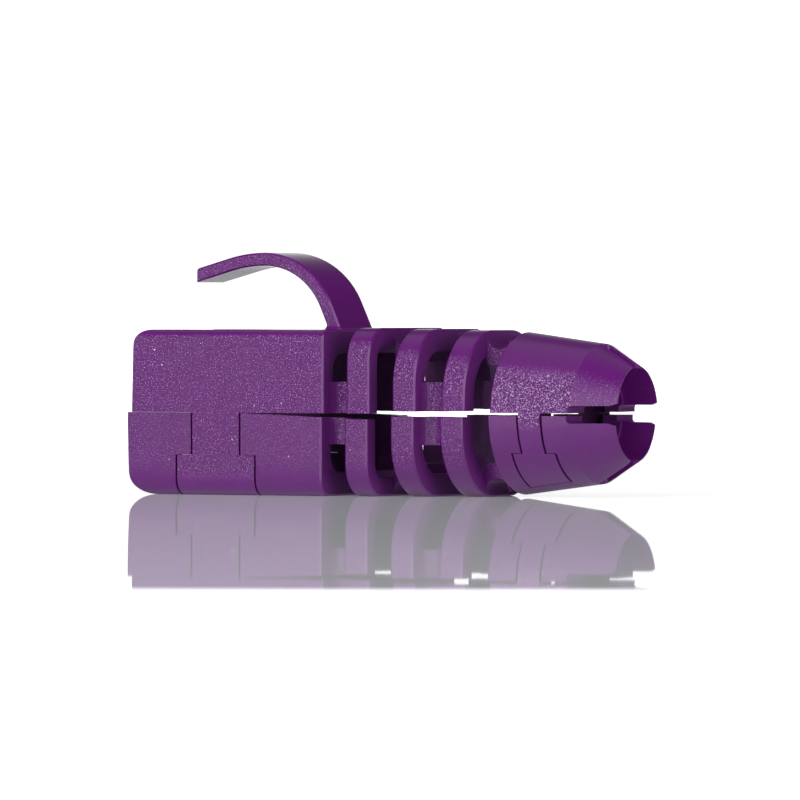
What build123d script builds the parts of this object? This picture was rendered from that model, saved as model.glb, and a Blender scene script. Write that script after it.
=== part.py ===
"""Strain relief boot in two halves for a modular plug and its round cable.

Two half shells close round the plug and the cable and lock with T-shaped side tabs.
Millimetres, +Z up, +X towards the cable. The origin is under the middle of the closed
boot, on the surface that it rests on.
"""

import os

from build123d import *

os.makedirs("parts", exist_ok=True)

# Plug end: a socket for the plug's body inside thin walls
plug_width = 11.8
plug_height = 9.5
plug_corner_radius = 0.4
side_wall = 1.1
top_wall = 1.25
body_length = 15.8
front_top_radius = 1.2
front_bottom_radius = 1.8
front_side_radius = 0.25
front_draft = 0.28
lower_front_step = 0.15
upper_front_inset = 0.14
top_edge_radius = 0.7
bottom_edge_radius = 1.2
end_wall = 1.6
end_wall_step = 0.45
end_opening_radius = 1.4

# Flexible ribs, from the plug end to the cable end: each narrower or higher than the body
rib_thickness = 1.8
rib_gap = 1.9
rib_narrowing = (0.0, 0.0, 1.0)
rib_raise = (0.15, 0.08, 0.0)
rib_corners = (2.45, 3.95, 4.9)
rib_walls = (1.35, 1.6, 1.6)
edge_chamfer = 0.12

# Bridges between the ribs, at the sides and at top and bottom in turn
side_bridge_height = 4.5
side_bridge_recess = 1.8
top_bridge_width = 5.4
top_bridge_recess = 1.25
bridge_thickness = 1.1

# Cable end: an elliptical taper, lower and narrower than the body
cone_length = 6.15
cone_narrowing = 1.4
cone_lowering = 0.25
shoulder_narrowing = 1.4
shoulder_lowering = 1.65
tip_length = 2.6
cone_wall = 1.3
cable_radius = 2.9
hollow_clearance = 1.0
hollow_inset = 1.5
grip_length = 1.4
mouth_start_clearance = 0.3
mouth_clearance = 0.48
mouth_rim = 0.08
slit_width = 1.25
slit_corner_radius = 0.25
slit_flare = 0.17
slit_flare_length = 0.5
side_slit_inset = 0.25
top_slit_inset = 0.05

# Parting line between the half shells
parting_clearance = 0.02
body_end_relief = 0.3
first_rib_relief = 0.42
rib_relief = 0.21
cone_relief = 0.1
lower_lead = 0.15

# T-shaped locking tabs
tab_clearance = 0.15
tab_seat_clearance = 0.03
body_tab_place = 7.05
body_tab_stem = 3.8
body_tab_foot = 6.3
body_tab_drop = 3.1
cone_tab_inset = 2.98
cone_tab_stem = 1.62
cone_tab_foot = 3.1
cone_tab_drop = 2.8
cone_tab_inner = 2.3

# Latch guard and the slot that the plug's latch moves in
latch_slot_width = 7.0
latch_slot_length = 7.45
latch_slot_radius = 2.4
guard_crest_inset = 7.2
guard_back_length = 5.73
guard_rise = 5.6
guard_thickness = 0.95
guard_back_radius = 10.7
guard_back_angle = 15.5
guard_bend_radius = 5.55
guard_bend_angle = 66
guard_tip_width = 4.3
guard_root_width = 5.3
guard_tip_radius = 0.3
guard_root_radius = 0.35
guard_root_depth = 0.7

# Outer sizes, worked out from the sizes above
body_width = plug_width + 2 * side_wall
body_height = plug_height + 2 * top_wall
rib_widths = [body_width - narrowing for narrowing in rib_narrowing]
rib_heights = [body_height + rise for rise in rib_raise]
cone_width = body_width - cone_narrowing
cone_height = body_height - cone_lowering
shoulder_width = cone_width - shoulder_narrowing
shoulder_height = cone_height - shoulder_lowering
hollow_radius = cable_radius + hollow_clearance
mouth_start_radius = cable_radius + mouth_start_clearance
mouth_radius = cable_radius + mouth_clearance
half_height = body_height / 2
half_width = body_width / 2
parting_z = half_height
tolerance = 0.01

# Places along the boot from its front
guard_crest_place = body_length - guard_crest_inset
guard_tip_place = guard_crest_place - guard_back_length
rib_pitch = rib_thickness + rib_gap
rib_places = [body_length + rib_gap + n * rib_pitch for n in range(len(rib_widths))]
gap_places = [body_length] + [place + rib_thickness for place in rib_places]
cone_place = gap_places[-1] + rib_gap
cone_tab_place = cone_place + cone_tab_inset
shoulder_place = cone_place + cone_length
tip_place = shoulder_place + tip_length
lower_front = lower_lead + lower_front_step
overall_length = tip_place + lower_front
front_x = lower_front - overall_length / 2

side_view = Plane(origin=(front_x, 0, parting_z), x_dir=(1, 0, 0), z_dir=(0, -1, 0))
top_view = Plane(origin=(front_x, 0, parting_z), x_dir=(1, 0, 0), z_dir=(0, 0, 1))


def station(place):
    """Plane square to the cable, at a distance from the front, with its x along +Y."""
    return Plane(origin=(front_x + place, 0, parting_z), x_dir=(0, 1, 0), z_dir=(1, 0, 0))


def plug_block():
    """Plug end: three outlines meet in a block with a leaning front and rounded edges."""
    with BuildPart() as block:
        with BuildSketch(side_view):
            with BuildLine():
                Polyline(
                    (front_draft - lower_front_step, -half_height),
                    (body_length, -half_height),
                    (body_length, half_height),
                    (front_draft, half_height),
                    (upper_front_inset, 0),
                    (-lower_front_step, 0),
                    close=True,
                )
            make_face()
            fillet(vertices().group_by(Axis.Y)[-1].sort_by(Axis.X)[0], front_top_radius)
            fillet(vertices().group_by(Axis.Y)[0].sort_by(Axis.X)[0], front_bottom_radius)
        extrude(amount=half_width, both=True)
        with BuildSketch(station(-lower_front_step)):
            Rectangle(body_width, body_height)
            fillet(vertices().group_by(Axis.Y)[-1], top_edge_radius)
            fillet(vertices().group_by(Axis.Y)[0], bottom_edge_radius)
        extrude(amount=body_length + lower_front_step, mode=Mode.INTERSECT)
        with BuildSketch(top_view):
            with Locations((body_length, 0)):
                Rectangle(body_length + lower_front_step, body_width, align=(Align.MAX, Align.CENTER))
            fillet(vertices().group_by(Axis.X)[0], front_side_radius)
        extrude(amount=half_height, both=True, mode=Mode.INTERSECT)
        chamfer(faces().sort_by(Axis.X)[-1].edges(), edge_chamfer)
        with BuildSketch(station(-lower_front_step)):
            RectangleRounded(plug_width, plug_height, plug_corner_radius)
        extrude(amount=body_length - end_wall + lower_front_step, mode=Mode.SUBTRACT)
        with BuildSketch(station(body_length)):
            RectangleRounded(
                plug_width - 2 * end_wall_step, plug_height - 2 * end_wall_step, end_opening_radius
            )
        extrude(amount=-end_wall, mode=Mode.SUBTRACT)
    return block.part


def ring(place, width, height, corner, wall):
    """One flexible rib: a rounded frame that stands free round the cable."""
    with BuildPart() as frame:
        with BuildSketch(station(place)):
            with Locations((0, height / 2 - half_height)):
                RectangleRounded(width, height, corner)
        extrude(amount=rib_thickness)
        chamfer(faces().filter_by(Axis.X).edges(), edge_chamfer)
        with BuildSketch(station(place)):
            with Locations((0, height / 2 - half_height)):
                RectangleRounded(width - 2 * wall, height - 2 * wall, corner - wall)
        extrude(amount=rib_thickness, mode=Mode.SUBTRACT)
    return frame.part


def bridge_pair(place, view, depth, recess, breadth):
    """Two opposite bridges across one gap, each with a full round groove outside."""
    groove = rib_gap / 2
    with BuildPart() as pair:
        with BuildSketch(view):
            with Locations((place + groove, depth - recess - bridge_thickness)):
                Rectangle(rib_gap, bridge_thickness + groove, align=(Align.CENTER, Align.MIN))
            with Locations((place + groove, depth - recess + groove)):
                Circle(groove, mode=Mode.SUBTRACT)
        extrude(amount=breadth / 2, both=True)
        mirror(about=Plane.XY.offset(parting_z) if view is side_view else Plane.XZ)
    return pair.part


def cable_cone():
    """Tapered cable end: hollow behind a grip ring, and slit in four at its mouth."""
    rim_width = 2 * (mouth_radius + mouth_rim)
    outlines = (
        (cone_place, cone_width, cone_height),
        (shoulder_place, shoulder_width, shoulder_height),
        (tip_place, rim_width, rim_width),
    )
    with BuildPart() as cone:
        for place, width, height in outlines:
            with BuildSketch(station(place)):
                with BuildLine():
                    EllipticalCenterArc((0, 0), width / 2, height / 2, 90, arc_size=180)
                    EllipticalCenterArc((0, 0), width / 2, height / 2, 270, arc_size=180)
                make_face()
        loft(ruled=True)
        chamfer(faces().sort_by(Axis.X)[0].edges(), edge_chamfer)
        grip_end = tip_place - tip_length + top_slit_inset
        grip_start = grip_end - grip_length
        with BuildSketch(side_view):
            with BuildLine():
                Polyline(
                    (cone_place, 0),
                    (cone_place, cone_height / 2 - cone_wall),
                    (cone_place + hollow_inset, hollow_radius),
                    (grip_start - (hollow_radius - cable_radius) / 2, hollow_radius),
                    (grip_start, cable_radius),
                    (grip_end, cable_radius),
                    (grip_end, mouth_start_radius),
                    (tip_place, mouth_radius),
                    (tip_place, 0),
                    close=True,
                )
            make_face()
        revolve(axis=Axis((front_x, 0, parting_z), (1, 0, 0)), mode=Mode.SUBTRACT)
        for view, inset in ((side_view, side_slit_inset), (top_view, top_slit_inset)):
            with BuildSketch(view):
                with Locations((shoulder_place - inset, 0)):
                    RectangleRounded(
                        2 * tip_length,
                        slit_width,
                        slit_corner_radius,
                        align=(Align.MIN, Align.CENTER),
                    )
                with BuildLine():
                    Polyline(
                        (tip_place - slit_flare_length, -slit_width / 2),
                        (tip_place, -slit_width / 2 - slit_flare),
                        (tip_place, slit_width / 2 + slit_flare),
                        (tip_place - slit_flare_length, slit_width / 2),
                        close=True,
                    )
                make_face()
            extrude(amount=body_width, both=True, mode=Mode.SUBTRACT)
    return cone.part


def tab_prisms(clearance, seat_clearance):
    """T outlines of the locking tabs, run out through both sides of the boot."""
    tabs = (
        (body_tab_place, body_tab_stem, body_tab_foot, body_tab_drop, plug_width / 2),
        (cone_tab_place, cone_tab_stem, cone_tab_foot, cone_tab_drop, cone_tab_inner),
    )
    with BuildPart() as prisms:
        for place, stem, foot, drop, inner in tabs:
            with BuildSketch(side_view.offset(inner - clearance)):
                with Locations((place, -drop)):
                    Rectangle(stem + 2 * clearance, 2 * drop, align=(Align.CENTER, Align.MIN))
                with Locations((place, seat_clearance - drop)):
                    Rectangle(foot + 2 * clearance, half_height, align=(Align.CENTER, Align.MAX))
            extrude(amount=half_width)
        mirror(about=Plane.XZ)
    return prisms.part


def past_parting(edge, far):
    """Everything on the far side of one shell's parting edge, across the whole boot."""
    with BuildPart() as cutter:
        with BuildSketch(side_view):
            with BuildLine():
                Polyline(
                    (-body_length, far),
                    (-body_length, edge[0][1]),
                    *edge,
                    (2 * tip_place, edge[-1][1]),
                    (2 * tip_place, far),
                    close=True,
                )
            make_face()
        extrude(amount=body_width, both=True)
    return cutter.part


def latch_guard():
    """Springy arm over the plug's latch: one bent strap, a little wider at its root."""
    crest = (guard_crest_place, half_height + guard_rise - guard_thickness / 2)
    with BuildPart() as guard:
        with BuildSketch(side_view):
            with BuildLine():
                bend = JernArc(crest, (1, 0), guard_bend_radius, -guard_bend_angle)
                drop = (bend @ 1).Y - half_height + guard_root_depth
                PolarLine(bend @ 1, drop, direction=bend % 1, length_mode=LengthMode.VERTICAL)
                back = JernArc(crest, (-1, 0), guard_back_radius, guard_back_angle)
                PolarLine(back @ 1, guard_back_length, direction=back % 1)
            trace(line_width=guard_thickness)
        extrude(amount=guard_root_width / 2, both=True)
        with BuildSketch(top_view):
            with BuildLine():
                Polyline(
                    (guard_tip_place, -guard_tip_width / 2),
                    (body_length, -guard_root_width / 2),
                    (body_length, guard_root_width / 2),
                    (guard_tip_place, guard_tip_width / 2),
                    close=True,
                )
            make_face()
        extrude(amount=body_height + guard_rise, mode=Mode.INTERSECT)
        tip = faces().filter_by(Axis.X).sort_by(Axis.X)[0]
        fillet(tip.edges().filter_by(Axis.Y).sort_by(Axis.Z)[-1], guard_tip_radius)
        sides = faces().sort_by(Axis.Y)
        chamfer(sides[0].edges() + sides[-1].edges(), edge_chamfer)
    return guard.part


block = plug_block()
rings = [
    ring(*sizes)
    for sizes in zip(rib_places, rib_widths, rib_heights, rib_corners, rib_walls)
]
cone = cable_cone()

# The closed boot without its parting line, from which both shells are taken
with BuildPart() as boot_form:
    add(block)
    add(rings)
    add(cone)
    for place, width in zip(gap_places[0::2], rib_widths):
        add(bridge_pair(place, top_view, width / 2, side_bridge_recess, side_bridge_height))
    for place, height in zip(gap_places[1::2], (rib_heights[1], cone_height)):
        add(bridge_pair(place, side_view, height / 2, top_bridge_recess, top_bridge_width))

# Parting edges along the boot: the ribs stand further apart than the body and the cone
wide_start = rib_places[1] - rib_gap / 2
wide_end = cone_place - rib_gap / 2
upper_edge = (
    (wide_start, 0),
    (wide_start, rib_relief),
    (wide_end, rib_relief),
    (wide_end, cone_relief),
)
lower_edge = (
    (body_tab_place + body_tab_stem / 2, -parting_clearance),
    (body_length, -body_end_relief),
    (rib_places[0], -first_rib_relief),
    (wide_start, -first_rib_relief),
    (wide_start, -rib_relief),
    (wide_end, -rib_relief),
    (wide_end, -cone_relief),
)

with BuildPart() as below_upper:
    add(past_parting(upper_edge, -body_height))
    add(tab_prisms(0, 0), mode=Mode.SUBTRACT)

with BuildPart() as above_lower:
    add(past_parting(lower_edge, body_height))
    add(tab_prisms(tab_clearance, tab_seat_clearance))

with BuildPart() as upper_shell:
    add(boot_form.part)
    add(below_upper.part, mode=Mode.SUBTRACT)
    with BuildSketch(top_view):
        with Locations((-latch_slot_radius, 0)):
            RectangleRounded(
                latch_slot_length + latch_slot_radius,
                latch_slot_width,
                latch_slot_radius,
                align=(Align.MIN, Align.CENTER),
            )
    extrude(amount=body_height, mode=Mode.SUBTRACT)
    add(latch_guard())
    root = edges().filter_by_position(Axis.Z, body_height - tolerance, body_height + tolerance)
    root = root.filter_by_position(Axis.Y, -guard_root_width / 2, guard_root_width / 2)
    root = root.filter_by_position(Axis.X, front_x + guard_crest_place, front_x + body_length - end_wall / 4)
    fillet(root, guard_root_radius)
upper_shell.part.label = "upper_shell"
export_step(upper_shell.part, "parts/upper_shell.step")

with BuildPart() as lower_shell:
    add(boot_form.part.moved(Location((-lower_lead, 0, 0))))
    add(above_lower.part, mode=Mode.SUBTRACT)
lower_shell.part.label = "lower_shell"
export_step(lower_shell.part, "parts/lower_shell.step")
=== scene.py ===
"""Dresses the two half shells of a cable strain relief boot and sets them on a studio floor.

Laid out as an add-on: each operator dresses one shell or builds the stage, and the panel
lists them. Everything is in metres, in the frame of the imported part: +X along the cable,
+Z up, the boot standing on z = 0.
"""

from collections import Counter
from math import cos, radians, sin

import bpy
from mathutils import Euler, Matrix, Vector


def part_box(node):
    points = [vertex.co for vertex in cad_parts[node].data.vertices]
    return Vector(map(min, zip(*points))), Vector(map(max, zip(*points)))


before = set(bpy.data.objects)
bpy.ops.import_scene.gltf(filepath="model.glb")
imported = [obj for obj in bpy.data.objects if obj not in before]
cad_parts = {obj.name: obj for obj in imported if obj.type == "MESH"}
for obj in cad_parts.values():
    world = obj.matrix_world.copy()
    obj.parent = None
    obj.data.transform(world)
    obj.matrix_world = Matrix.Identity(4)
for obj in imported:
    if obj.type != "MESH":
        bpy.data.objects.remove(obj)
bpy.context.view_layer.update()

bl_info = {
    "name": "Strain relief boot",
    "version": (1, 0, 0),
    "blender": (4, 5, 0),
    "location": "3D View > Sidebar > Boot",
    "description": "Dresses the half shells of a strain relief boot and builds its studio",
    "category": "Object",
}

MM = 0.001
UPPER = "upper_shell"
LOWER = "lower_shell"
lower_low, lower_high = (Vector(corner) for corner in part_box(LOWER))

# Where the finish changes along and above the boot
PARTING = lower_high.z
BODY_TOP = 2 * PARTING
CONE_START = lower_low.x + 29.0 * MM
TIP_START = CONE_START + 6.15 * MM
SMOOTH_FOOT = 0.8 * MM
SMOOTH_TAB_FOOT = 4.6 * MM
RIM_SMOOTH = 0.2 * MM
RIM_GRAINED = 0.5 * MM
UPPER_FADE = 1.2 * MM
LOWER_FADE = 2.5 * MM

# Cover of the grain: the faces that have it, and how strong it is
FLAT_FACES = (0.70, 0.92)
TIP_LEAN = 0.2
UPPER_STRENGTH = 0.9
LOWER_STRENGTH = 0.48
FAINT_STRENGTH = 0.35
PATCHES_PER_METRE = 260.0
PATCH_STRENGTH = (0.75, 1.1)

# Look of the grain: how light and dark its grains are, and which of them carry a painted glint
PATCH_TONE = (0.92, 1.06)
FINE_TONE = 0.48
# Painted highlight: the taper's band, where the light mirrors, gets stronger grain contrast, glints and
# sparks
CONE_PAINTED_HIGHLIGHT = 1.6
PAINTED_GLINT_LEVELS = (0.57, 0.72)
CONE_PAINTED_GLINTS = 0.05
# Painted sparks: a few grains painted near white as mirrored highlights
PAINTED_SPARK_CELL = 2.0
PAINTED_SPARK_RADIUS = 0.28
PAINTED_SPARK_LEVEL = 0.997
CONE_PAINTED_SPARKS = 0.012

# Inner walls with their painted shade, rib faces and guard arm
INWARD_FACES = (-0.5, -0.2)
END_FACES = (0.7, 0.9)
INNER_PAINTED_SHADE = 0.35
ARM_GLOSS = 0.65

# Floor and room; the wall's sides and top fade over these cosines and heights of the view
# Painted light: the floor's lit middle glows faintly; further out it glows white as the backdrop
NEAR_GLOW = 0.055
FLOOR_EMISSION = 3.0
WALL_SIDES = (0.80, 0.96)
WALL_HEIGHTS = (0.03, 0.42)
WALL_TOP = 0.13
BACKDROP = 1.05

# The point that the camera aims at, and where the photo shows that point
AIM = Vector((lower_low.x + 19.15 * MM, 0, 6 * MM))
AIM_PIXEL = (404.3, 412.4)
PHOTO_SIZE = 800
SENSOR_WIDTH = 36

# Soft boxes: azimuth and elevation in degrees, distance, width, height, watts
LIGHTS = {
    "key_front": (-9, 27, 0.8, 0.34, 0.62, 3.35),
    "fill_right": (66, 18, 0.9, 0.8, 0.6, 4.4),
    "fill_top": (2, 48, 0.9, 0.6, 0.5, 1.7),
    "sheen_left": (-27, 6, 0.8, 0.8, 0.5, 0.45),
}
OVERHEAD_PLACE = Vector((-0.12, 0.25, 0.9))
OVERHEAD_SIZE = 0.9
OVERHEAD_WATTS = 0.95


class BootPlastic(bpy.types.PropertyGroup):
    """Finish of the moulded plastic."""
    colour: bpy.props.FloatVectorProperty(
        name="Plastic colour", description="Colour of the plastic itself, as scene-linear values",
        subtype="COLOR", size=3, min=0, max=1, default=(0.118, 0.0070, 0.157),
    )
    # Painted glint: lighter colour painted on the grains that stand in for catching the light
    painted_glint_colour: bpy.props.FloatVectorProperty(
        name="Speck colour", description="Colour of the grains that catch the light",
        subtype="COLOR", size=3, min=0, max=1, default=(0.60, 0.37, 0.70),
    )
    # Painted highlight: colour of the few grains painted as mirrored sparks
    painted_spark_colour: bpy.props.FloatVectorProperty(
        name="Spark colour", description="Colour of the few grains that mirror the light",
        subtype="COLOR", size=3, min=0, max=1, default=(0.95, 0.85, 0.97),
    )
    # Painted shade: the lower shell's colour is darkened as if its faces caught less light
    lower_painted_shade: bpy.props.FloatProperty(
        name="Lower shade", description="Colour of the lower shell as a share of the upper one's",
        min=0, max=1, default=0.92,
    )
    grain_size: bpy.props.FloatProperty(
        name="Grain size", description="Width of one pit of the spark-eroded grain",
        unit="LENGTH", min=0, default=0.00010, precision=6,
    )
    grain_depth: bpy.props.FloatProperty(
        name="Grain depth", description="Depth of the grain on the flat sides",
        unit="LENGTH", min=0, default=0.00009, precision=6,
    )
    side_roughness: bpy.props.FloatProperty(
        name="Side roughness", description="Roughness of the grained sides",
        min=0, max=1, default=0.30,
    )
    smooth_roughness: bpy.props.FloatProperty(
        name="Smooth roughness", description="Roughness of the roundings and the guard arm",
        min=0, max=1, default=0.28,
    )
    inner_roughness: bpy.props.FloatProperty(
        name="Inner roughness", description="Roughness of the walls that face the cable",
        min=0, max=1, default=0.6,
    )


class BootStudio(bpy.types.PropertyGroup):
    """Floor, light and camera."""
    azimuth: bpy.props.FloatProperty(
        name="Camera azimuth", description="Angle of the camera round the boot from its near side",
        subtype="ANGLE", unit="ROTATION", default=radians(26.8),
    )
    elevation: bpy.props.FloatProperty(
        name="Camera elevation", description="Angle of the camera above the floor",
        subtype="ANGLE", unit="ROTATION", default=radians(0.7),
    )
    distance: bpy.props.FloatProperty(
        name="Camera distance", description="Distance from the camera to the boot",
        unit="LENGTH", default=0.6,
    )
    focal_length: bpy.props.FloatProperty(
        name="Focal length", description="Focal length of the camera",
        unit="CAMERA", default=371.8,
    )
    roll: bpy.props.FloatProperty(
        name="Camera roll", description="Turn of the camera about its line of sight",
        subtype="ANGLE", unit="ROTATION", default=radians(0.05),
    )
    floor_size: bpy.props.FloatProperty(
        name="Floor size", description="Width of the round floor",
        unit="LENGTH", default=8.0,
    )
    glow_start: bpy.props.FloatProperty(
        name="Glow start", description="Distance at which the floor starts to meet the backdrop",
        unit="LENGTH", default=0.1905,
    )
    glow_end: bpy.props.FloatProperty(
        name="Glow end", description="Distance at which the floor is as white as the backdrop",
        unit="LENGTH", default=0.2,
    )
    floor_colour: bpy.props.FloatVectorProperty(
        name="Floor colour", description="Colour of the table under its gloss",
        subtype="COLOR", size=3, min=0, max=1, default=(0.92, 0.95, 0.98),
    )
    floor_gloss: bpy.props.FloatProperty(
        name="Floor gloss", description="Share of light that the floor's gloss mirrors at a low angle",
        min=0, max=1, default=0.84,
    )
    wall_light: bpy.props.FloatProperty(
        name="Wall light", description="Brightness of the white wall behind the boot",
        min=0, default=1.37,
    )
    room_light: bpy.props.FloatProperty(
        name="Room light", description="Brightness of the rest of the room",
        min=0, default=0.045,
    )


def boot():
    return bpy.context.scene.boot_plastic


def studio():
    return bpy.context.scene.boot_studio


def deselect():
    """Nothing selected, so that an operator acts only on what is picked next."""
    bpy.ops.object.select_all(action="DESELECT")


def add_node(tree, kind, inputs=None, **settings):
    """A shader node with its settings; its inputs, by name or number, take sockets or values."""
    node = tree.nodes.new(kind)
    for key, value in settings.items():
        setattr(node, key, value)
    for key, value in (inputs or {}).items():
        if isinstance(value, bpy.types.NodeSocket):
            tree.links.new(value, node.inputs[key])
        else:
            node.inputs[key].default_value = value
    return node


def maths(tree, operation, *terms, clamp=False):
    """Result of a calculation on sockets and numbers."""
    node = add_node(tree, "ShaderNodeMath", dict(enumerate(terms)), operation=operation, use_clamp=clamp)
    return node.outputs[0]


def product(tree, first, *others):
    """Product of two or more sockets."""
    for other in others:
        first = maths(tree, "MULTIPLY", first, other)
    return first


def carry(tree, value, start, end, low=0.0, high=1.0, curve="SMOOTHSTEP"):
    """A value carried over from the range start to end to the range low to high, and kept in it."""
    node = add_node(tree, "ShaderNodeMapRange", {
        "Value": value, "From Min": start, "From Max": end, "To Min": low, "To Max": high,
    }, interpolation_type=curve)
    return node.outputs[0]


def blend(tree, factor, first, second, kind="FLOAT"):
    """Mix of two numbers, or of two colours with the kind RGBA."""
    node = add_node(tree, "ShaderNodeMix", {"Factor": factor, "A": first, "B": second}, data_type=kind)
    return node.outputs["Result"]


def arrange(tree):
    """Sets a tree's nodes in columns, each one to the right of all that feed it."""
    column = {node.name: 0 for node in tree.nodes}
    for _ in tree.nodes:
        for link in tree.links:
            source, target = link.from_node.name, link.to_node.name
            column[target] = max(column[target], column[source] + 1)
    filled = Counter()
    for node in tree.nodes:
        place = column[node.name]
        node.location = (220 * place, -240 * filled[place])
        filled[place] += 1


def start_group(name, inputs, outputs):
    """An empty shader node group, with its sockets as names and defaults or as names and kinds."""
    tree = bpy.data.node_groups.new(name, "ShaderNodeTree")
    for label, value in inputs.items():
        kind = "NodeSocketColor" if isinstance(value, tuple) else "NodeSocketFloat"
        socket = tree.interface.new_socket(label, in_out="INPUT", socket_type=kind)
        socket.default_value = value
    for label, kind in outputs.items():
        tree.interface.new_socket(label, in_out="OUTPUT", socket_type=kind)
    return tree, add_node(tree, "NodeGroupInput").outputs


def boot_zones(tree, given, spot):
    """Masks of the taper, its slit tip and the guard arm, and of the places with faint grain."""
    past = maths(tree, "GREATER_THAN", spot["X"], given["Cone Start"])
    tip = maths(tree, "GREATER_THAN", spot["X"], given["Tip Start"])
    arm = maths(tree, "GREATER_THAN", spot["Z"], given["Body Top"])
    return {
        "past": past,
        "tip": tip,
        "arm": arm,
        "cone": maths(tree, "SUBTRACT", past, tip, clamp=True),
        "faint": maths(tree, "MAXIMUM", tip, arm),
    }


def grain_cover(tree, given, spot, normal, zones, patch):
    """How strongly the grain shows: on faces that look sideways, off the foot and the top rim."""
    side = maths(tree, "SIGN", spot["Y"])
    sideways = product(tree, normal["Y"], side)
    leaning = maths(tree, "MULTIPLY_ADD", zones["tip"], TIP_LEAN, sideways)
    flat = carry(tree, leaning, *FLAT_FACES)
    foot = blend(tree, zones["past"], given["Smooth Below"], given["Cone Smooth Below"])
    above = maths(tree, "SUBTRACT", spot["Z"], foot)
    risen = carry(tree, above, 0.0, given["Smooth Band"])
    strong = carry(tree, zones["faint"], 0.0, 1.0, 1.0, FAINT_STRENGTH, "LINEAR")
    off_top = maths(tree, "ABSOLUTE", maths(tree, "SUBTRACT", spot["Z"], given["Body Top"]))
    off_rim = carry(tree, off_top, RIM_SMOOTH, RIM_GRAINED)
    uneven = carry(tree, patch, 0.3, 0.7, *PATCH_STRENGTH, "LINEAR")
    level = product(tree, uneven, given["Strength"])
    return maths(tree, "MULTIPLY", product(tree, flat, strong, risen, off_rim), level, clamp=True)


def painted_sparks(tree, object_place, pitch, zones):
    """Mask of painted sparks: a grain here and there painted as a mirror of the light, more often on the
    taper.
    """
    cells = add_node(tree, "ShaderNodeTexVoronoi", {
        "Vector": object_place, "Scale": maths(tree, "MULTIPLY", pitch, 1 / PAINTED_SPARK_CELL),
    }, feature="F1")
    dice = add_node(tree, "ShaderNodeSeparateColor", {0: cells.outputs["Color"]}).outputs[0]
    odds = maths(tree, "MULTIPLY_ADD", zones["cone"], CONE_PAINTED_SPARKS, dice)
    chosen = maths(tree, "GREATER_THAN", odds, PAINTED_SPARK_LEVEL)
    middle = maths(tree, "LESS_THAN", cells.outputs["Distance"], PAINTED_SPARK_RADIUS)
    return product(tree, chosen, middle)


def inner_walls(tree, given, spot, normal, normal_vector, zones):
    """Masks of the walls that look at the cable's axis, which take a painted shade, and of these and the
    rib faces together.
    """
    height = maths(tree, "SUBTRACT", spot["Z"], given["Parting"])
    outward = add_node(tree, "ShaderNodeCombineXYZ", {"Y": spot["Y"], "Z": height})
    unit = add_node(tree, "ShaderNodeVectorMath", {0: outward.outputs[0]}, operation="NORMALIZE")
    facing = add_node(tree, "ShaderNodeVectorMath", {0: unit.outputs[0], 1: normal_vector},
                      operation="DOT_PRODUCT")
    inward = carry(tree, facing.outputs["Value"], *INWARD_FACES, 1.0, 0.0)
    inner = maths(tree, "SUBTRACT", inward, zones["faint"], clamp=True)
    endways = carry(tree, maths(tree, "ABSOLUTE", normal["X"]), *END_FACES)
    rib_faces = maths(tree, "SUBTRACT", endways, zones["faint"], clamp=True)
    return inner, maths(tree, "MAXIMUM", inner, rib_faces)


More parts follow.
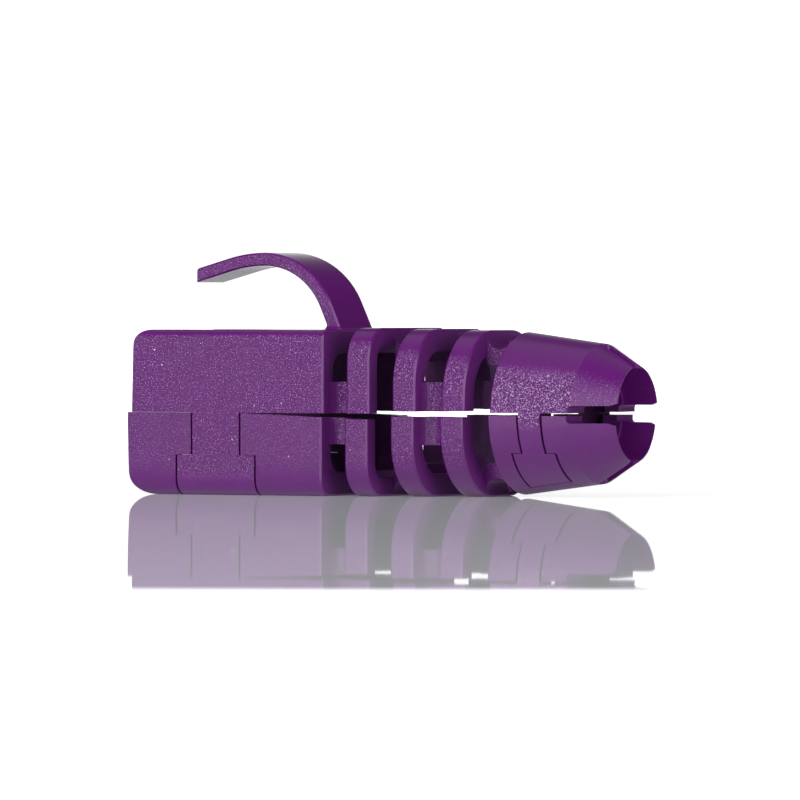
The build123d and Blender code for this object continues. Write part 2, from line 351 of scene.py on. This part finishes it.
def moulded_grain():
    """Node group: spark-eroded grain in object space, with painted glints and sparks, and dull inner
    walls with painted shade.
    """
    name = "moulded_grain"
    if name in bpy.data.node_groups:
        return bpy.data.node_groups[name]
    tree, given = start_group(name, {
        "Plastic": (0.118, 0.007, 0.157, 1),
        "Painted Glint": (0.6, 0.37, 0.7, 1),
        "Painted Spark": (0.95, 0.85, 0.97, 1),
        "Grain Size": 0.0001,
        "Smooth Below": 0.0,
        "Cone Smooth Below": 0.006,
        "Cone Start": 0.01,
        "Tip Start": 0.016,
        "Parting": 0.006,
        "Body Top": 0.012,
        "Smooth Band": 0.002,
        "Strength": 1.0,
        "Side Roughness": 0.5,
        "Smooth Roughness": 0.35,
        "Inner Roughness": 0.6,
    }, {"Color": "NodeSocketColor", "Roughness": "NodeSocketFloat", "Height": "NodeSocketFloat"})
    object_place = add_node(tree, "ShaderNodeTexCoord").outputs["Object"]
    normal_vector = add_node(tree, "ShaderNodeNewGeometry").outputs["Normal"]
    spot = add_node(tree, "ShaderNodeSeparateXYZ", {0: object_place}).outputs
    normal = add_node(tree, "ShaderNodeSeparateXYZ", {0: normal_vector}).outputs
    zones = boot_zones(tree, given, spot)

    pitch = maths(tree, "DIVIDE", 1.0, given["Grain Size"])
    grain = add_node(tree, "ShaderNodeTexNoise", {
        "Vector": object_place, "Scale": pitch, "Detail": 1.5, "Roughness": 0.6,
    }).outputs["Fac"]
    pits = add_node(tree, "ShaderNodeTexVoronoi", {"Vector": object_place, "Scale": pitch}, feature="F1")
    patch = add_node(tree, "ShaderNodeTexNoise", {
        "Vector": object_place, "Scale": PATCHES_PER_METRE, "Detail": 2.0,
    }).outputs["Fac"]
    cover = grain_cover(tree, given, spot, normal, zones, patch)

    # Height: broad grain with round pits in it
    pit = carry(tree, pits.outputs["Distance"], 0.0, 0.7, curve="LINEAR")
    height = product(tree, maths(tree, "MULTIPLY_ADD", pit, 0.5, grain), cover)

    # Colour: light and dark grains, then painted glints where a grain would shine, then the few painted
    # sparks
    contrast = carry(tree, zones["cone"], 0.0, 1.0, 1.0, CONE_PAINTED_HIGHLIGHT, "LINEAR")
    fine = carry(tree, grain, 0.3, 0.7, -FINE_TONE, FINE_TONE, "LINEAR")
    tone = carry(tree, patch, 0.25, 0.75, *PATCH_TONE, "LINEAR")
    shading = maths(tree, "MULTIPLY_ADD", fine, product(tree, contrast, cover), tone)
    shaded = add_node(tree, "ShaderNodeVectorMath", {0: given["Plastic"], "Scale": shading},
                      operation="SCALE")
    lively = maths(tree, "MULTIPLY_ADD", zones["cone"], CONE_PAINTED_GLINTS, grain)
    painted_glint = product(tree, carry(tree, lively, *PAINTED_GLINT_LEVELS), cover)
    colour = blend(tree, painted_glint, shaded.outputs[0], given["Painted Glint"], "RGBA")
    spark = product(tree, painted_sparks(tree, object_place, pitch, zones), cover)
    colour = blend(tree, spark, colour, given["Painted Spark"], "RGBA")

    # Painted shade: the inner walls' colour is darkened towards black; they are as dull as the faces
    # between the ribs
    inner, dull = inner_walls(tree, given, spot, normal, normal_vector, zones)
    painted_shade = maths(tree, "MULTIPLY", inner, INNER_PAINTED_SHADE)
    colour = blend(tree, painted_shade, colour, (0, 0, 0, 1), "RGBA")
    gloss = blend(tree, cover, given["Smooth Roughness"], given["Side Roughness"])
    sleek = carry(tree, zones["arm"], 0.0, 1.0, 1.0, ARM_GLOSS, "LINEAR")
    roughness = blend(tree, dull, product(tree, gloss, sleek), given["Inner Roughness"])

    add_node(tree, "NodeGroupOutput", {"Color": colour, "Roughness": roughness, "Height": height})
    arrange(tree)
    return tree


def shell_plastic(name, cone_smooth_below, smooth_band, strength, shade=1.0):
    """Purple moulded plastic of one shell, grained on its sides and smooth at its roundings; shade
    darkens its colour as painted shade.
    """
    given = boot()
    material = bpy.data.materials.new(name)
    material.use_nodes = True
    tree = material.node_tree
    tree.nodes.clear()
    grain = add_node(tree, "ShaderNodeGroup", node_tree=moulded_grain())
    for label, value in (
        ("Plastic", (*(part * shade for part in given.colour), 1)),
        ("Painted Glint", (*given.painted_glint_colour, 1)),
        ("Painted Spark", (*given.painted_spark_colour, 1)),
        ("Grain Size", given.grain_size),
        ("Smooth Below", SMOOTH_FOOT),
        ("Cone Smooth Below", cone_smooth_below),
        ("Cone Start", CONE_START),
        ("Tip Start", TIP_START),
        ("Parting", PARTING),
        ("Body Top", BODY_TOP),
        ("Smooth Band", smooth_band),
        ("Strength", strength),
        ("Side Roughness", given.side_roughness),
        ("Smooth Roughness", given.smooth_roughness),
        ("Inner Roughness", given.inner_roughness),
    ):
        grain.inputs[label].default_value = value
    bump = add_node(tree, "ShaderNodeBump", {
        "Strength": 1.0, "Distance": given.grain_depth, "Height": grain.outputs["Height"],
    })
    skin = add_node(tree, "ShaderNodeBsdfPrincipled", {
        "Base Color": grain.outputs["Color"], "Roughness": grain.outputs["Roughness"],
        "IOR": 1.5, "Normal": bump.outputs["Normal"],
    })
    add_node(tree, "ShaderNodeOutputMaterial", {"Surface": skin.outputs[0]})
    arrange(tree)
    return material


def dress(node, material):
    """Gives a CAD node its finish."""
    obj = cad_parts[node]
    obj.data.materials.clear()
    obj.data.materials.append(material)


class BOOT_OT_upper_shell(bpy.types.Operator):
    """Dress the upper half shell with its guard arm and locking tabs"""
    bl_idname = "boot.upper_shell"
    bl_label = "Upper shell"

    def execute(self, context):
        dress(UPPER, shell_plastic("plastic_upper", SMOOTH_TAB_FOOT, UPPER_FADE, UPPER_STRENGTH))
        return {"FINISHED"}


class BOOT_OT_lower_shell(bpy.types.Operator):
    """Dress the lower half shell"""
    bl_idname = "boot.lower_shell"
    bl_label = "Lower shell"

    def execute(self, context):
        # Painted shade: the lower shell's colour is darkened as if its faces caught less light
        shade = boot().lower_painted_shade
        dress(LOWER, shell_plastic("plastic_lower", PARTING, LOWER_FADE, LOWER_STRENGTH, shade))
        return {"FINISHED"}


def soft_light(name, place, aim, width, height, power):
    """A soft box at a place, turned to the point that it lights."""
    data = bpy.data.lights.new(name, "AREA")
    data.shape = "RECTANGLE"
    data.size = width
    data.size_y = height
    data.energy = power
    light = bpy.data.objects.new(name, data)
    bpy.context.collection.objects.link(light)
    light.location = place
    light.rotation_euler = (aim - place).to_track_quat("-Z", "Y").to_euler()


def far_glow():
    """Node group: a faint painted glow in the lit middle of a floor, and white beyond it so that it
    meets the backdrop.
    """
    name = "far_glow"
    if name in bpy.data.node_groups:
        return bpy.data.node_groups[name]
    tree, given = start_group(name, {
        "Near Glow": 0.05,
        "Start": 0.25,
        "End": 0.4,
    }, {"Color": "NodeSocketColor"})
    place = add_node(tree, "ShaderNodeTexCoord")
    reach = add_node(tree, "ShaderNodeVectorMath", {0: place.outputs["Object"]}, operation="LENGTH")
    glow = carry(tree, reach.outputs["Value"], given["Start"], given["End"], given["Near Glow"])
    add_node(tree, "NodeGroupOutput", {"Color": glow})
    arrange(tree)
    return tree


def floor_material():
    """White glossy table: matt white with a clear coat that mirrors at a low angle."""
    given = studio()
    material = bpy.data.materials.new("floor_white")
    material.use_nodes = True
    tree = material.node_tree
    glow = add_node(tree, "ShaderNodeGroup", node_tree=far_glow())
    glow.inputs["Near Glow"].default_value = NEAR_GLOW
    glow.inputs["Start"].default_value = given.glow_start
    glow.inputs["End"].default_value = given.glow_end
    skin = tree.nodes["Principled BSDF"]
    for label, value in (
        ("Base Color", (*given.floor_colour, 1)),
        ("Roughness", 0.9),
        ("Specular IOR Level", 0.0),
        ("Coat Weight", given.floor_gloss),
        ("Coat Roughness", 0.015),
        ("Emission Strength", FLOOR_EMISSION),
    ):
        skin.inputs[label].default_value = value
    tree.links.new(glow.outputs["Color"], skin.inputs["Emission Color"])
    arrange(tree)
    return material


def studio_world():
    """White to the camera; to everything else a dark room with a white wall at the back."""
    given = studio()
    world = bpy.data.worlds.new("studio")
    world.use_nodes = True
    bpy.context.scene.world = world
    tree = world.node_tree
    tree.nodes.clear()
    away = add_node(tree, "ShaderNodeTexCoord").outputs["Generated"]
    height = add_node(tree, "ShaderNodeSeparateXYZ", {0: away}).outputs["Z"]
    towards_wall = add_node(tree, "ShaderNodeVectorMath", {
        0: away, 1: (-sin(given.azimuth), cos(given.azimuth), 0),
    }, operation="DOT_PRODUCT").outputs["Value"]
    wall = carry(tree, towards_wall, *WALL_SIDES, 0.0, given.wall_light)
    low = carry(tree, height, *WALL_HEIGHTS, 1.0, WALL_TOP)
    level = maths(tree, "MULTIPLY_ADD", wall, low, given.room_light)
    room = add_node(tree, "ShaderNodeBackground", {"Strength": level})
    seen = add_node(tree, "ShaderNodeBackground", {"Color": (1, 1, 1, 1), "Strength": BACKDROP})
    path = add_node(tree, "ShaderNodeLightPath")
    sight = add_node(tree, "ShaderNodeMixShader", {
        "Fac": path.outputs["Is Camera Ray"], 1: room.outputs[0], 2: seen.outputs[0],
    })
    add_node(tree, "ShaderNodeOutputWorld", {"Surface": sight.outputs[0]})
    arrange(tree)


def around(azimuth, elevation, reach):
    """Point at a distance from the boot, at an azimuth round from its near side."""
    az, el = radians(azimuth), radians(elevation)
    return Vector((sin(az) * cos(el), -cos(az) * cos(el), sin(el))) * reach


def light_boot():
    """Soft boxes round the boot, all turned to its middle."""
    middle = Vector((0, 0, PARTING))
    for name, (azimuth, elevation, reach, width, height, power) in LIGHTS.items():
        soft_light(name, around(azimuth, elevation, reach), middle, width, height, power)
    soft_light("overhead", OVERHEAD_PLACE, middle, OVERHEAD_SIZE, OVERHEAD_SIZE, OVERHEAD_WATTS)


def place_camera():
    """Camera at the photo's angle, with the aimed point where the photo shows it."""
    given = studio()
    az, el = given.azimuth, given.elevation
    towards = Vector((sin(az) * cos(el), -cos(az) * cos(el), sin(el)))
    right = Vector((cos(az), sin(az), 0))
    up = towards.cross(right)
    pixel = given.distance * SENSOR_WIDTH / given.focal_length / PHOTO_SIZE
    middle = PHOTO_SIZE / 2
    aim = AIM + right * (middle - AIM_PIXEL[0]) * pixel + up * (AIM_PIXEL[1] - middle) * pixel
    data = bpy.data.cameras.new("photo_camera")
    data.lens = given.focal_length
    data.sensor_width = SENSOR_WIDTH
    data.clip_end = 50
    camera = bpy.data.objects.new("photo_camera", data)
    bpy.context.collection.objects.link(camera)
    camera.location = aim + towards * given.distance
    turn = (-towards).to_track_quat("-Z", "Y").to_matrix() @ Euler((0, 0, given.roll)).to_matrix()
    camera.rotation_euler = turn.to_euler()
    bpy.context.scene.camera = camera


class BOOT_OT_stage(bpy.types.Operator):
    """Build the white floor, the soft light and the camera"""
    bl_idname = "boot.stage"
    bl_label = "Studio"

    def execute(self, context):
        deselect()
        radius = studio().floor_size / 2
        bpy.ops.mesh.primitive_circle_add(vertices=96, radius=radius, fill_type="NGON")
        floor = context.active_object
        floor.name = "floor"
        floor.data.materials.append(floor_material())
        studio_world()
        light_boot()
        place_camera()
        context.scene.view_settings.view_transform = "Standard"
        context.scene.view_settings.look = "None"
        return {"FINISHED"}


class BOOT_PT_panel(bpy.types.Panel):
    """Lists what builds the boot's scene"""
    bl_idname = "BOOT_PT_panel"
    bl_label = "Strain relief boot"
    bl_space_type = "VIEW_3D"
    bl_region_type = "UI"
    bl_category = "Boot"

    def draw(self, context):
        layout = self.layout
        for operator in (BOOT_OT_upper_shell, BOOT_OT_lower_shell, BOOT_OT_stage):
            layout.operator(operator.bl_idname)
        for group in (context.scene.boot_plastic, context.scene.boot_studio):
            box = layout.box()
            for key in group.__annotations__:
                box.prop(group, key)


CLASSES = (
    BootPlastic,
    BootStudio,
    BOOT_OT_upper_shell,
    BOOT_OT_lower_shell,
    BOOT_OT_stage,
    BOOT_PT_panel,
)


def register():
    for cls in CLASSES:
        bpy.utils.register_class(cls)
    bpy.types.Scene.boot_plastic = bpy.props.PointerProperty(type=BootPlastic)
    bpy.types.Scene.boot_studio = bpy.props.PointerProperty(type=BootStudio)


def unregister():
    del bpy.types.Scene.boot_studio
    del bpy.types.Scene.boot_plastic
    for cls in reversed(CLASSES):
        bpy.utils.unregister_class(cls)


def main():
    register()
    bpy.ops.boot.upper_shell()
    bpy.ops.boot.lower_shell()
    bpy.ops.boot.stage()


if __name__ == "__main__":
    main()
